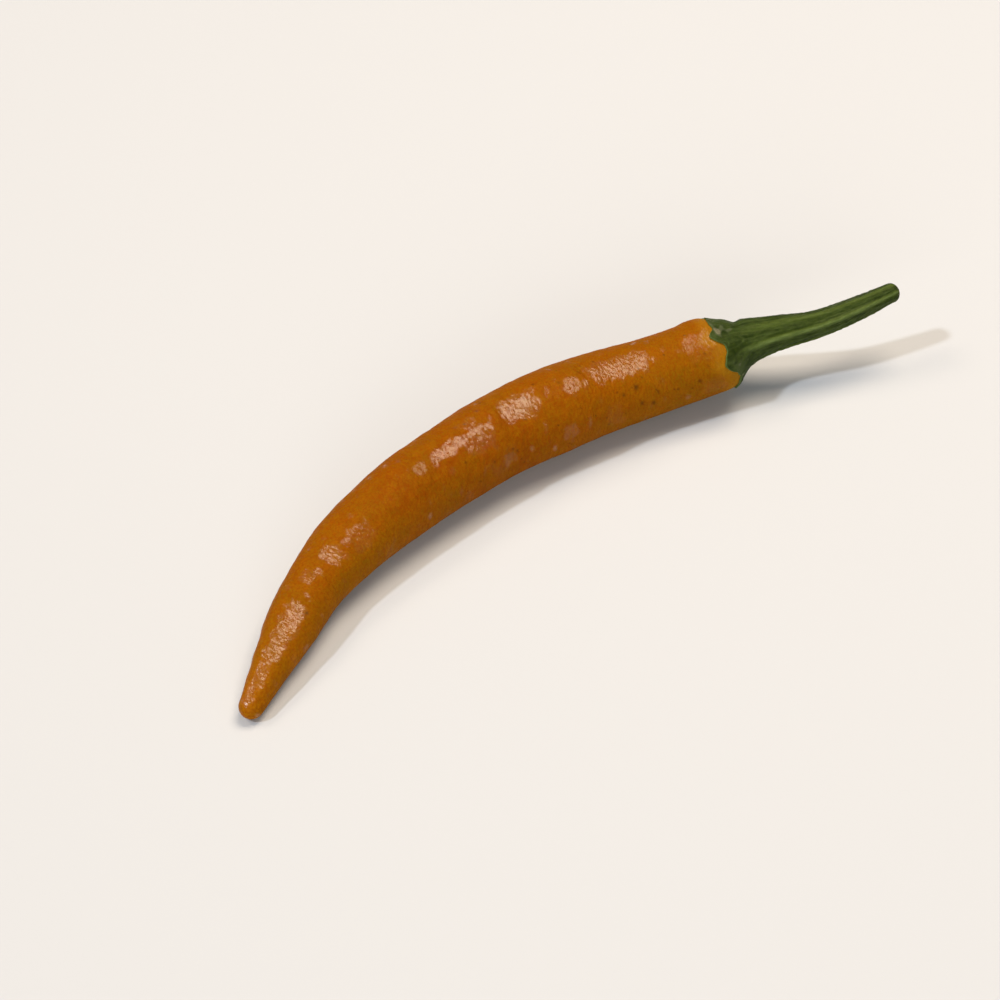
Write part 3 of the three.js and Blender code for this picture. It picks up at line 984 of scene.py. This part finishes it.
# %% Wax, gloss and fine crinkles
across_pod = stretched(tree, straight, (1.35, 0.8, 0.8))
skin_height = crinkle(tree, across_pod, 1.7, 0.45)
skin_bump = add_node(tree, "ShaderNodeBump", {
    "Height": skin_height, "Distance": 0.000085, "Strength": 1.0,
})
worn = add_node(tree, "ShaderNodeTexNoise", {"Vector": across_pod, "Scale": 1.6, "Detail": 4.0})
wax_left = calculate(tree, "MULTIPLY", gloss, mask(tree, worn.outputs["Fac"], 0.30, 0.46))
wax_weight = calculate(tree, "MULTIPLY", wax_left, 0.95)
skin_shader = add_node(tree, "ShaderNodeBsdfPrincipled", {
    "Base Color": colour,
    "Roughness": 0.6,
    "Specular IOR Level": 0.02,
    "Normal": skin_bump.outputs["Normal"],
    "Subsurface Weight": 0.10,
    "Subsurface Radius": (1.0, 0.35, 0.08),
    "Subsurface Scale": 0.0010,
    "Coat Weight": wax_weight,
    "Coat Roughness": 0.18,
    "Coat IOR": 1.46,
    "Coat Normal": skin_bump.outputs["Normal"],
})
add_node(tree, "ShaderNodeOutputMaterial", {"Surface": skin_shader.outputs[0]})
pod.data.materials.append(wax)
print("pod finish:", len(tree.nodes), "nodes")

# %% [markdown]
# ## The finish of the calyx and the stem
#
# The calyx is the darkest green. The ribs of the stem are the palest, partly because light-coloured
# fibres lie just under them and partly as a painted highlight along their crests. Between the ribs
# and in the grooves the skin is painted a deep, dull green, which is painted shade. The dried teeth
# have gone grey-brown. The rib heights and the crust that shaped the mesh are read back as masks,
# so that colour and shape agree.

# %% The greens
CALYX_GREEN = (0.012, 0.024, 0.003)
# The darker green between the ribs and in the grooves is painted shade.
SHADED_GROOVE_GREEN = (0.014, 0.025, 0.003)
RIB_GREEN = (0.104, 0.148, 0.044)
STEM_GREEN = (0.052, 0.078, 0.011)
VEIN_GREEN = (0.050, 0.074, 0.019)
CRUST_GREY = (0.080, 0.098, 0.048)
CRUST_CREAM = (0.150, 0.150, 0.090)
CUT_BROWN = (0.10, 0.075, 0.03)

leafy = bpy.data.materials.new("ribbed green skin")
leafy.use_nodes = True
tree = leafy.node_tree
tree.nodes.clear()

tube_place = stored(tree, "tube", "Vector")
past = stored(tree, "past_edge")
rib = stored(tree, "rib")
groove_shade = stored(tree, "groove_shade")
crusted = stored(tree, "crust")
stem_along = add_node(tree, "ShaderNodeSeparateXYZ", {0: tube_place}).outputs[0]

on_stem = mask(tree, past, 0.8, 8.0)
# Painted shade away from the ribs and in the grooves; the pale rib crests are partly a painted
# highlight.
shaded_between_ribs = mix(tree, mask(tree, rib, 0.1, 0.6), SHADED_GROOVE_GREEN, STEM_GREEN)
ribbed = mix(tree, mask(tree, rib, 0.45, 1.05), shaded_between_ribs, RIB_GREEN)
ribbed = mix(tree, calculate(tree, "MULTIPLY", groove_shade, 0.7), ribbed, SHADED_GROOVE_GREEN)
green_colour = mix(tree, on_stem, CALYX_GREEN, ribbed)

# %% Fibres, drifts and dried teeth
fibre_place = stretched(tree, tube_place, (0.16, 1.0, 1.0))
green_colour = mottle(tree, fibre_place, green_colour, RIB_GREEN, 2.4, 0.35)
green_colour = mottle(tree, fibre_place, green_colour, SHADED_GROOVE_GREEN, 5.5, 0.4)
green_colour = mottle(tree, tube_place, green_colour, STEM_GREEN, 1.3, 0.3)
veined = stored(tree, "vein")
green_colour = mix(tree, calculate(tree, "MULTIPLY", veined, 0.55), green_colour, VEIN_GREEN)
crust_mask = calculate(tree, "MULTIPLY", mask(tree, crusted, 0.1, 0.6), 0.8)
green_colour = mix(tree, crust_mask, green_colour, CRUST_GREY)
green_colour = mix(tree, mask(tree, crusted, 0.72, 0.95), green_colour, CRUST_CREAM)
lip_mask = calculate(tree, "MULTIPLY", mask(tree, past, 0.16, 0.0), 0.5)
green_colour = mix(tree, lip_mask, green_colour, RIB_GREEN)
cut = mask(tree, stem_along, CHILI_LENGTH - 0.35, CHILI_LENGTH)
green_colour = mix(tree, calculate(tree, "MULTIPLY", cut, 0.8), green_colour, CUT_BROWN)

# %% The dull skin of the stem
fibre_height = crinkle(tree, stretched(tree, tube_place, (0.22, 1.0, 1.0)), 3.0, 0.4)
green_bump = add_node(tree, "ShaderNodeBump", {
    "Height": fibre_height, "Distance": 0.00006, "Strength": 1.0,
})
green_shader = add_node(tree, "ShaderNodeBsdfPrincipled", {
    "Base Color": green_colour,
    "Roughness": 0.5,
    "Specular IOR Level": 0.05,
    "Normal": green_bump.outputs["Normal"],
    "Subsurface Weight": 0.06,
    "Subsurface Radius": (0.3, 0.6, 0.1),
    "Subsurface Scale": 0.0006,
})
add_node(tree, "ShaderNodeOutputMaterial", {"Surface": green_shader.outputs[0]})
green.data.materials.append(leafy)
print("green finish:", len(tree.nodes), "nodes")

# %% [markdown]
# ## The table, the lights and the camera
#
# The chili lies on a plain pale table. A long lens looks down at half a right angle, from the side
# of the tip. A wide, warm soft box hangs almost overhead and draws the row of highlights along the
# pod, a smaller one on the left reaches the tip, and a low one in front fills the shaded flank. A
# broad, cooler lamp far off on the left throws the soft shadow. The table is a little blue, so
# that it looks neutral under the warm light. Places are given as seen by the camera, so many
# metres to the right, away and up from where it looks.

# %% The table
table_mesh = bpy.data.meshes.new("table")
TABLE_HALF = 3.0
corners = [(-1, -1), (1, -1), (1, 1), (-1, 1)]
places = [(TABLE_HALF * x, TABLE_HALF * y, 0) for x, y in corners]
table_mesh.from_pydata(places, [], [(0, 1, 2, 3)])
table = bpy.data.objects.new("table", table_mesh)
bpy.context.scene.collection.objects.link(table)
table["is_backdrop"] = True

TABLE_COLOUR = (0.530, 0.562, 0.615)
paper = bpy.data.materials.new("plain pale table")
paper.use_nodes = True
paper_shader = paper.node_tree.nodes["Principled BSDF"]
paper_shader.inputs["Base Color"].default_value = (*TABLE_COLOUR, 1)
paper_shader.inputs["Roughness"].default_value = 0.7
table_mesh.materials.append(paper)

# %% The camera
from mathutils import Matrix, Vector

VIEW_AZIMUTH, VIEW_ELEVATION = math.radians(-40), math.radians(45)
VIEW_DISTANCE = 0.33336
AIM_FROM_TIP = (44.16, 8.86, 0)   # in mm, the spot on the table that the camera looks at
AIM = Vector(SCALE * np.array(AIM_FROM_TIP) + [CORNER[0], CORNER[1], 0])


def seen_from_camera(right, away, up):
    """A place so far to the right of where the camera looks, away from the camera, and up."""
    cosine, sine = math.cos(VIEW_AZIMUTH), math.sin(VIEW_AZIMUTH)
    return AIM + Vector((right * cosine - away * sine, right * sine + away * cosine, up))


camera = bpy.data.objects.new("camera", bpy.data.cameras.new("camera"))
camera.data.lens = 100
camera.data.sensor_width = 36
camera.data.clip_start = 0.01
camera.location = seen_from_camera(
    0, -VIEW_DISTANCE * math.cos(VIEW_ELEVATION), VIEW_DISTANCE * math.sin(VIEW_ELEVATION))
camera.rotation_euler = (AIM - camera.location).to_track_quat("-Z", "Y").to_euler()
bpy.context.scene.collection.objects.link(camera)
bpy.context.scene.camera = camera


# %% The lights
def soft_box(name, place, long_side, size, brightness, tint):
    """A flat lamp at a place, turned to the chili, with its long side along a direction. Its
    brightness is the light that each bit of it gives off: power over pi times the area."""
    lamp = bpy.data.objects.new(name, bpy.data.lights.new(name, "AREA"))
    lamp.data.shape = "RECTANGLE"
    lamp.data.size, lamp.data.size_y = size
    lamp.data.energy = brightness * math.pi * size[0] * size[1]
    lamp.data.color = tint
    back = (place - AIM).normalized()
    side = (long_side - long_side.dot(back) * back).normalized()
    turned = Matrix((side, back.cross(side), back)).transposed().to_4x4()
    lamp.matrix_world = Matrix.Translation(place) @ turned
    bpy.context.scene.collection.objects.link(lamp)
    return lamp


def direction_seen(right, away):
    """A level direction, as seen by the camera."""
    return (seen_from_camera(right, away, 0) - AIM).normalized()


WARM, MILD, COOL = (1.0, 0.81, 0.60), (1.0, 0.92, 0.78), (0.93, 0.97, 1.0)
soft_box("warm soft box overhead", seen_from_camera(0.15, 0.20, 0.60), direction_seen(0, 1),
         (0.32, 0.38), 10.5, WARM)
soft_box("warm strip on the left", seen_from_camera(-0.50, 0.12, 0.60), direction_seen(0, 1),
         (0.26, 0.20), 10.5, WARM)
soft_box("low fill", seen_from_camera(-0.10, -0.80, 0.25), direction_seen(1, 0),
         (0.70, 0.30), 7.2, MILD)

# A broad lamp far off on the left, whose light reaches the whole table.
sun = bpy.data.objects.new("far left lamp", bpy.data.lights.new("far left lamp", "SUN"))
sun.data.energy = 1.45
sun.data.angle = math.radians(4)   # the wider it is, the softer the shadow's edge
sun.data.color = COOL
lamp_direction = seen_from_camera(-0.785, -0.285, 1.0) - AIM
sun.rotation_euler = lamp_direction.to_track_quat("Z", "Y").to_euler()
bpy.context.scene.collection.objects.link(sun)

# %% The air around
air = bpy.data.worlds.new("pale room")
air.use_nodes = True
glow = air.node_tree.nodes["Background"]
glow.inputs["Color"].default_value = (0.95, 0.97, 1.0, 1)
glow.inputs["Strength"].default_value = 0.19
bpy.context.scene.world = air
bpy.context.scene.view_settings.view_transform = "Standard"

# %% [markdown]
# ## The sizes at the end
#
# Both boxes are printed: the skins should fill the box of the imported solids and not outgrow it.

# %% Write the sizes and finish
look_low, look_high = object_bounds()
for label, low, high in (("solids", cad_low, cad_high), ("skins", look_low, look_high)):
    print(label, [round(1000 * v, 2) for v in low], "to", [round(1000 * v, 2) for v in high], "mm")
